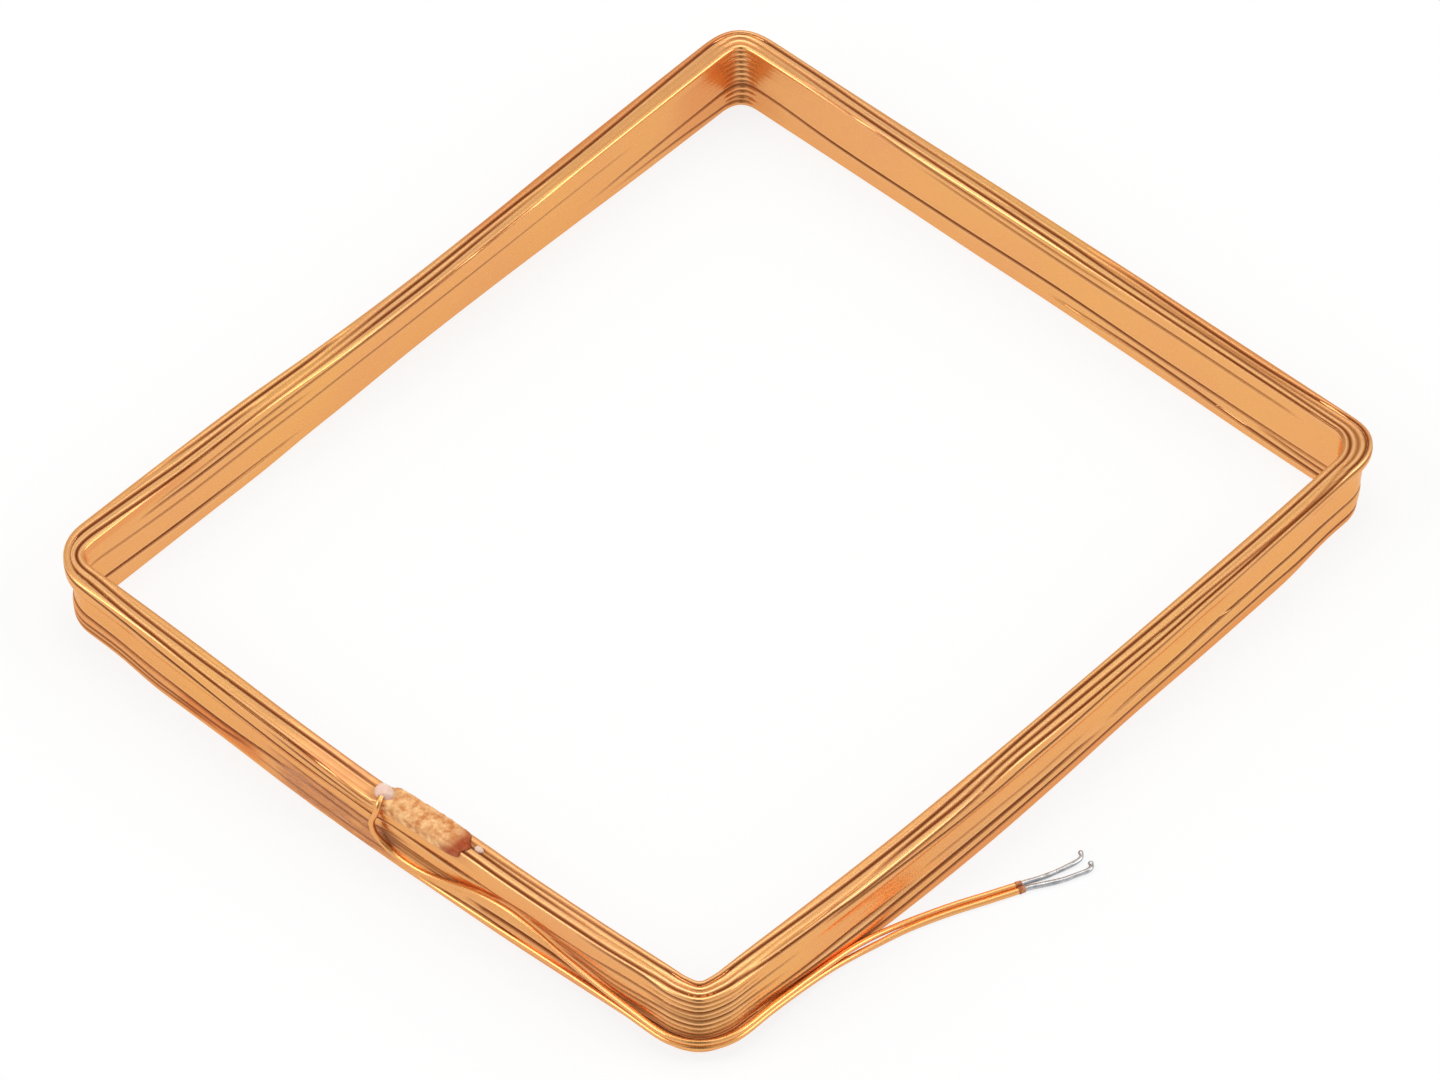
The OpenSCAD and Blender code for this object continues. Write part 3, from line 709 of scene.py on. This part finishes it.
def grooveAt(points, u):  # where round the section a groove lies at u along the side, and how deep it is
    if not points[0][0] - 0.03 < u < points[-1][0] + 0.03:
        return None
    i = 0
    while i < len(points) - 2 and u > points[i + 1][0]:
        i += 1
    near = around(points, i)
    (u0, u1, u2, u3), (s0, s1, s2, s3) = ([p[k] for p in near] for k in (0, 1))
    width = u2 - u1
    t = min(1, max(0, (u - u1) / width))
    before = (s2 - s0) / max(1e-6, u2 - u0)
    after = (s3 - s1) / max(1e-6, u3 - u1)
    place = (s1 * (1 + 2 * t) * (1 - t) ** 2 + before * width * t * (1 - t) ** 2
        + s2 * t * t * (3 - 2 * t) + after * width * t * t * (t - 1))
    depth = near[1][2] + (near[2][2] - near[1][2]) * t
    if points[0][0] > 0:
        depth *= fade(points[0][0] - 0.03, points[0][0] + 0.01, u)
    if points[-1][0] < 1:
        depth *= 1 - fade(points[-1][0] - 0.01, points[-1][0] + 0.03, u)
    return place, depth


def groovesAt(side, u, angle):
    key = (side, round(u, 5), angle)
    if key not in groovesFound:
        if angle is None:
            found = (grooveAt(points, u) for points in grooves[side])
            groovesFound[key] = [g for g in found if g and g[1] > 0.02]
        else:
            share = fade(0, 1, angle)
            groovesFound[key] = ([(place, depth * (1 - share)) for place, depth in groovesAt(side, 1, None)]
                + [(place, depth * share) for place, depth in groovesAt(nextSide(side), 0, None)])
    return groovesFound[key]


def thinness(side, u, angle):  # the turns show one by one round the front and the back corner
    if angle is not None:
        return {"frontRight": 1, "backLeft": math.exp(-((angle - 0.5) / 0.3) ** 4)}.get(side, 0)
    return {"frontLeft": 1 - fade(0, 0.025, u), "frontRight": fade(0.97, 1, u)}.get(side, 0)


def hollow(distance, radius):  # the hollow beside a round turn
    return radius - math.sqrt(max(0, radius ** 2 - (radius - distance) ** 2)) if distance < radius else 0


def turnsAt(place):  # how many turns up a wall, or in from the outer face, a place round the section is
    if place < wallTop:
        return (place - winding["wire"] / 2) / winding["pitch"]
    if place > innerFrom:
        return (sectionEnd - place - winding["wire"] / 2) / winding["pitch"]
    return (place - topFrom) / winding["pitch"] if topFrom < place < topTo else 0


def cutAt(found, thin, place):  # how deep the coat is cut at a place, and how much painted shade and painted highlight it gets
    deep = paintedShade = paintedHighlight = 0
    s = relief["groove"]
    for where, depth in found:
        d = abs(place - where)
        if d < s["reach"]:
            deep += depth * (hollow(d, s["shoulder"]) * s["depth"] / s["shoulder"]
                + s["core"] * bell(d, s["coreWidth"]))
            # painted shade along the groove
            paintedShade += depth * bell(d, s["paintedShadeWidth"])
            # painted highlight on the shoulders beside the groove
            paintedHighlight += depth * bell(d - s["paintedHighlightAt"], s["paintedHighlightWidth"])
    turns = turnsAt(place)
    if turns > 0:
        s = relief["hollow"]
        d = abs(turns - math.floor(turns) - 0.5) * winding["pitch"]
        deep += hollow(d, relief["skin"]) * (s["thickCoat"] + (s["thinCoat"] - s["thickCoat"]) * thin)
        # painted shade in the hollows between single turns where the coat is thin
        paintedShade += thin * s["paintedShade"] * bell(d, s["paintedShadeWidth"])
        # painted highlight beside those hollows
        paintedHighlight += thin * s["paintedHighlight"] * bell(d - s["paintedHighlightAt"], s["paintedHighlightWidth"])
    return deep, min(1, paintedShade * relief["paintedShadeGain"]), min(1, paintedHighlight)


def sunk(layer, row, side, u, angle):  # how far a turn keeps beneath the grooves, sideways and downwards
    found = groovesAt(side, u, angle)
    sideways = down = 0
    for k in range(-4, 5):
        off = k * relief["step"]
        rounding = relief["skin"] - math.sqrt(relief["skin"] ** 2 - off ** 2)
        if layer in (0, lastLayer):
            height = winding["wire"] / 2 + row * winding["pitch"] + off
            place = height if layer == 0 else sectionEnd - height
            sideways = max(sideways, cutAt(found, 0, place)[0] - rounding)
        if row > lastRow - 1:
            place = topFrom + layer * winding["pitch"] + off
            down = max(down, cutAt(found, 0, place)[0] - rounding)
    return sideways + 0.01, down + 0.01


def layerPath(layer):  # one unbroken wire, which climbs a row on each way round, on the front left side
    path = []
    s = winding
    inward = {0: -1, lastLayer: 1}.get(layer, 0)

    def turn(row, side, u, angle=None):
        sideways, down = sunk(layer, row, side, u, angle)
        return turnPoint(layer, row, side, u, angle, inward * sideways, -down)

    def corner(row, side):
        return [turn(row, side, 1, i / s["cornerSteps"]) for i in range(s["cornerSteps"])]

    jogLow, jogHigh, firstFrom = ((s[key] + arcY) / (2 * arcY) for key in ("jogFrom", "jogTo", "firstFrom"))
    half, climb = s["halfSideSteps"], s["climbSteps"]
    for row in range(s["rows"]):
        begin = firstFrom if row == 0 else jogHigh
        path += [turn(row, "frontLeft", begin + (1 - begin) * i / half) for i in range(half)]
        path += corner(row, "frontLeft")
        for side in sideNames[1:]:
            path += [turn(row, side, i / s["sideSteps"]) for i in range(s["sideSteps"])]
            path += corner(row, side)
        path += [turn(row, "frontLeft", jogLow * i / half) for i in range(half + 1)]
        if row < lastRow:
            path += [turn(row + fade(0, 1, i / climb), "frontLeft", jogLow + (jogHigh - jogLow) * i / climb)
                for i in range(1, climb)]
    return [p * mm for p in path]


layerNodes = {
    "outer_layer_turns": "outer_layer",
    "second_layer_turns": "winding_core",
    "third_layer_turns": "winding_core",
    "inner_layer_turns": "inner_layer",
}
for layer, (name, node) in enumerate(layerNodes.items()):
    path = layerPath(layer)
    fitPiece(wireCurve(name, path, winding["wire"] / 2 * mm, copper, sides=2), node)
    print(name, len(path), "points,", round(pathLength(path), 2), "m")

# The bonding coat fills the hollows between the turns. Its patches of warmer tone (at the back corner a
# painted glow of light bounced between the inner walls) and of dried varnish run from and to along the side,
# from and to round the section, and have a strength.
bondCoat = {
    "stations": 64, "cornerStations": 14, "step": 0.05, "bendSteps": 7, "foot": 0.04,
    "warmToneAndPaintedGlow": {
        "frontLeft": [(0.68, 0.82, 0.4, 1.6, 1), (0.5, 0.6, 5.2, 5.7, 0.8), (0.8, 1.1, 0.2, 1.7, 0.4),
            (0, 0.3, 0.2, 1.4, 0.4)],
        "backLeft": [(0.93, 1.1, 7.9, 12.6, 0.35), (0.6, 1.1, 5.3, 6.0, 0.6), (-0.1, 0.15, 7.2, 7.8, 0.4)],
        "backRight": [(-0.1, 0.03, 10.2, 12.6, 0.3), (0.55, 1.1, 5.3, 6.1, 0.4)],
        "frontRight": [(-0.1, 1.1, 0.1, 0.9, 0.5), (0.84, 1.1, 0.2, 1.6, 0.5)],
    },
    "varnish": {
        "frontLeft": [(0.44, 0.66, -0.5, 2.9, 0.5), (0.47, 0.6, 5.6, 7.4, 0.4), (0.32, 0.48, 4.6, 7.5, 0.4)],
    },
}


def patchAt(patches, u, place):
    return min(1, sum(strength * reach(u, low, high, 0.025, 0.025) * reach(place, bottom, top, 0.2, 0.2)
        for low, high, bottom, top, strength in patches))


def sectionFrame(side, u, angle):  # the middles of the turns that the coat lies on, at one station
    sink = 0
    if side == "frontLeft" and angle is None:  # the rows stand lower where the turns climb
        y = -arcY + 2 * arcY * u
        low, high = winding["jogFrom"], winding["jogTo"]
        sink = (1 - fade(low, high, y)) * fade(low, low + 1, y)
    shrink = (lastRow - sink) / lastRow
    walls = {layer: [turnPoint(layer, row * shrink, side, u, angle) for row in range(winding["rows"])]
        for layer in (0, lastLayer)}
    outward = {layer: turnPoint(layer, 6, side, u, angle, 1) - turnPoint(layer, 6, side, u, angle)
        for layer in walls}
    tops = [turnPoint(layer, lastRow * shrink, side, u, angle) for layer in range(winding["layers"])]
    return walls, outward, tops, groovesAt(side, u, angle), thinness(side, u, angle)


def between(places, x):
    i = min(len(places) - 2, int(x))
    return places[i].lerp(places[i + 1], x - i)


def onCoat(found, place, beyond=0):  # a point of the coat's skin, with its painted shade and painted highlight
    walls, outward, tops, lines, thin = found
    deep, paintedShade, paintedHighlight = cutAt(lines, thin, place)
    upward = Vector((0, 0, 1))
    if place <= wallTop or place >= innerFrom:
        layer, sign, height = (0, 1, place) if place <= wallTop else (lastLayer, -1, sectionEnd - place)
        above = height - winding["wire"] / 2
        middle = between(walls[layer], max(0, above / winding["pitch"])) + upward * min(0, above)
        way = outward[layer] * sign * (1 - relief["footDraw"] * max(0, relief["foot"] - height) ** 2)
    elif place < topFrom:
        a = (place - wallTop) / relief["skin"]
        middle, way = tops[0], outward[0] * math.cos(a) + upward * math.sin(a)
    elif place <= topTo:
        middle, way = between(tops, (place - topFrom) / winding["pitch"]), upward
    else:
        a = (innerFrom - place) / relief["skin"]
        middle, way = tops[-1], upward * math.sin(a) - outward[lastLayer] * math.cos(a)
    return middle + way * (relief["skin"] - deep + beyond), paintedShade, paintedHighlight


def sectionPlaces(s):  # up the outer wall, over the top and down the inner wall
    wall, top, bend = round(wallTop / s["step"]), round(depthRange / s["step"]), s["bendSteps"]
    return ([s["foot"] + (wallTop - s["foot"]) * i / wall for i in range(wall)]
        + [wallTop + bendLength * i / bend for i in range(bend)]
        + [topFrom + depthRange * i / top for i in range(top + 1)]
        + [topTo + bendLength * i / bend for i in range(1, bend)]
        + [innerFrom + (wallTop - s["foot"]) * i / wall for i in range(wall + 1)])


def coatSection(side, u, angle, s):  # once round the section: point, painted shade, painted highlight, warmth with painted glow, and varnish
    found = sectionFrame(side, u, angle)
    if angle is not None and angle >= 0.5:  # past the middle of the corner the next side's patches hold
        side, u = nextSide(side), 0
    warmToneAndPaintedGlow, varnish = s["warmToneAndPaintedGlow"].get(side, ()), s["varnish"].get(side, ())
    made = [(*onCoat(found, place), patchAt(warmToneAndPaintedGlow, u, place), patchAt(varnish, u, place))
        for place in sectionPlaces(s)]
    return made + [(Vector((p.x, p.y, 0)), 0, 0, 0, 0) for p in (found[0][lastLayer][0], found[0][0][0])]


def makeBondCoat(s):
    stations = []
    for side in sideNames:
        stations += [(side, i / s["stations"], None) for i in range(s["stations"])]
        stations += [(side, 1, i / s["cornerStations"]) for i in range(s["cornerStations"])]
    sections = [coatSection(*station, s) for station in stations]
    sections = [section + section[:1] for section in sections + sections[:1]]
    wide, high = len(sections) - 1, len(sections[0]) - 1
    bm = bmesh.new()
    bmesh.ops.create_grid(bm, x_segments=wide, y_segments=high, size=0.5)
    # the coat's masks: painted shade, painted highlight, warmer tone with painted glow, and dried varnish
    tones = [bm.verts.layers.float.new(name) for name in ("paintedShade", "paintedHighlight", "warmToneAndPaintedGlow", "varnish")]
    for v in bm.verts:
        point, *shades = sections[round((v.co.x + 0.5) * wide)][round((v.co.y + 0.5) * high)]
        v.co = point * mm
        for tone, shade in zip(tones, shades):
            v[tone] = shade
    bmesh.ops.remove_doubles(bm, verts=bm.verts, dist=0.0001 * mm)
    return finishMesh(bm, "bond_coat", bonded)


coat = fitPiece(makeBondCoat(bondCoat), "winding_core")
print("bond coat ready:", len(coat.data.polygons), "faces")

# Dried adhesives: the bead and the drop by their middle and size, the pad and the smear by where they lie
# on the coat. One end of the pad is burnt.
adhesives = {
    "bead": {"middle": (0.36, 28.62, 5.58), "size": (0.57, 0.74, 0.56), "rough": 0.02, "seat": 5.2},
    "drop": {"middle": (0.98, 20.75, 5.5), "size": (0.24, 0.34, 0.2), "rough": 0.05, "seat": 5.1},
    "pad": {"along": 0.408, "round": 5.98, "halfAlong": 0.074, "halfRound": 1.3, "raised": 0.09,
        "square": 3.4, "rough": 0.07, "grain": 1500, "burnt": -0.72, "clear": 0.8},
    "smear": {"along": 0.548, "round": 1.5, "halfAlong": 0.115, "halfRound": 1.35, "raised": 0.02,
        "square": 2.6, "rough": 0.03, "grain": 1700, "burnt": -3, "clear": 0.45},
}


def makeBlob(name, s, material):  # a small lump, flattened where it sits
    bm = bmesh.new()
    bmesh.ops.create_icosphere(bm, subdivisions=5, radius=1)
    middle = fromCorner([s["middle"]])[0]
    seat = s["seat"] * mm
    for v in bm.verts:
        away = v.co.normalized()
        swollen = (1 + noise.noise(away * 1.3 + Vector((7, 3, 1))) * 0.12
            + noise.noise(away * 4.5) * s["rough"])
        v.co = middle + Vector([a * b * swollen * mm for a, b in zip(away, s["size"])])
        if v.co.z < seat:
            v.co.z = seat + (v.co.z - seat) * 0.3
    return finishMesh(bm, name, material)


def makePatch(name, s, material):  # a thin lump that lies over the coat
    frames = {}
    bm = bmesh.new()
    dark = bm.verts.layers.float.new("burnt")
    inside = bm.verts.layers.float.new("inside")
    bmesh.ops.create_icosphere(bm, subdivisions=6, radius=1)
    for v in bm.verts:
        x, y, z = v.co
        flat = math.hypot(x, y)
        v[inside] = 1 - fade(s["clear"], 1, flat + noise.noise(v.co * 4) * 0.08)
        if flat > 1e-6:
            square = (abs(x / flat) ** s["square"] + abs(y / flat) ** s["square"]) ** (-1 / s["square"])
            edge = 1 + noise.noise(Vector((x / flat * 1.7, y / flat * 1.7, s["raised"] * 9))) * 0.14
            spread = (1 - (1 - flat) ** 2) * square * edge / flat
            x, y = x * spread, y * spread
        u = round(s["along"] + x * s["halfAlong"], 3)
        if u not in frames:
            frames[u] = sectionFrame("frontLeft", u, None)
        place = min(sectionEnd - 0.1, max(0.1, s["round"] + y * s["halfRound"]))
        low, high = onCoat(frames[u], place, -0.1)[0], onCoat(frames[u], place, s["raised"])[0]
        p = low.lerp(high, 0.5 + 0.5 * max(-1, min(1, z * 1.6)))
        grain = p * mm * s["grain"]
        lumps = noise.noise(grain) * s["rough"] + noise.noise(grain * 2.6) * s["rough"] * 0.5
        v[dark] = 1 - fade(s["burnt"] - 0.15, s["burnt"] + 0.15, x + noise.noise(p * 0.9) * 0.2)
        v.co = (p + (high - low).normalized() * lumps * max(0, min(1, z * 2 + 0.4))) * mm
    return finishMesh(bm, name, material)


for node, name, make, key, material, slot in (
        ("lead_bead", "glue_bead", makeBlob, "bead", "milkyGlue", "clear_adhesive"),
        ("varnish_drop", "glue_drop", makeBlob, "drop", "milkyGlue", "clear_adhesive"),
        ("varnish_pad", "amber_pad", makePatch, "pad", "amberVarnish", "amber_varnish"),
        ("varnish_smear", "brown_smear", makePatch, "smear", "brownSmear", "amber_varnish")):
    fitPiece(make(name, adhesives[key], resins[material]), node)
print("adhesives ready")

# The floor and the world are white to the camera. Gloss sees the world a little brighter than it lights the
# coil, with a dark upright slit on the side that the front corner faces.
stage = {
    "floor": 3.0, "paint": (0.92, 0.92, 0.92, 1), "white": 0.82, "light": 0.5, "gloss": 0.2,
    "toward": (-0.756, -0.654, 0), "slit": (0.93, 0.975), "darkness": 0.95,
}


def makeFloor(s):
    bm = bmesh.new()
    bmesh.ops.create_grid(bm, x_segments=1, y_segments=1, size=s["floor"])
    f = Finish("paleFloor")
    seen = f.ray("Is Camera Ray") + f.ray("Is Glossy Ray") + f.ray("Is Transmission Ray")
    paint = f.node("ShaderNodeBsdfDiffuse", {}, {"Color": s["paint"]})
    glow = f.node("ShaderNodeEmission", {}, {"Color": (1, 1, 1, 1), "Strength": 1.0})
    mix = f.node("ShaderNodeMixShader", {}, {0: seen * s["white"], 1: paint, 2: glow})
    f.node("ShaderNodeOutputMaterial", {}, {"Surface": mix})
    finishMesh(bm, "floor", f.owner, smooth=False)


def makeWorld(s):
    scene.world = bpy.data.worlds.new("studio")
    f = Finish("studio", scene.world)
    gloss = f.ray("Is Glossy Ray")
    way = f.node("ShaderNodeTexCoord", out="Generated")
    level = f.node("ShaderNodeVectorMath", {"operation": "MULTIPLY"}, {0: way, 1: (1, 1, 0)})
    level = f.node("ShaderNodeVectorMath", {"operation": "NORMALIZE"}, {0: level})
    toward = f.node("ShaderNodeVectorMath", {"operation": "DOT_PRODUCT"}, {
        0: level, 1: s["toward"]}, out="Value")
    dark = f.node("ShaderNodeMapRange", {"interpolation_type": "SMOOTHSTEP"}, {
        "Value": toward, "From Min": s["slit"][0], "From Max": s["slit"][1],
        "To Min": 0.0, "To Max": s["darkness"]})
    strength = ((s["light"] + gloss * s["gloss"]) * (1 - gloss * dark)
        + f.ray("Is Camera Ray") * (1 - s["light"]))
    back = f.node("ShaderNodeBackground", {}, {"Color": (1, 1, 1, 1), "Strength": strength})
    f.node("ShaderNodeOutputWorld", {}, {"Surface": back})


makeFloor(stage)
makeWorld(stage)

lamps = {
    "left": {"place": (-0.5, 0.35, 0.45), "size": 0.5, "power": 1.8},
    "right": {"place": (0.45, -0.5, 0.45), "size": 0.5, "power": 1.8},
    "above": {"place": (0.1, 0.1, 0.8), "size": 0.7, "power": 2.2},
}
for name, s in lamps.items():
    data = bpy.data.lights.new(name, "AREA")
    data.shape = "DISK"
    data.size = s["size"]
    data.energy = s["power"]
    lamp = bpy.data.objects.new(name, data)
    place = Vector(s["place"])
    lamp.matrix_world = Matrix.Translation(place) @ place.to_track_quat("Z", "Y").to_matrix().to_4x4()
    scene.collection.objects.link(lamp)
scene.view_settings.view_transform = "Standard"
print("stage ready")
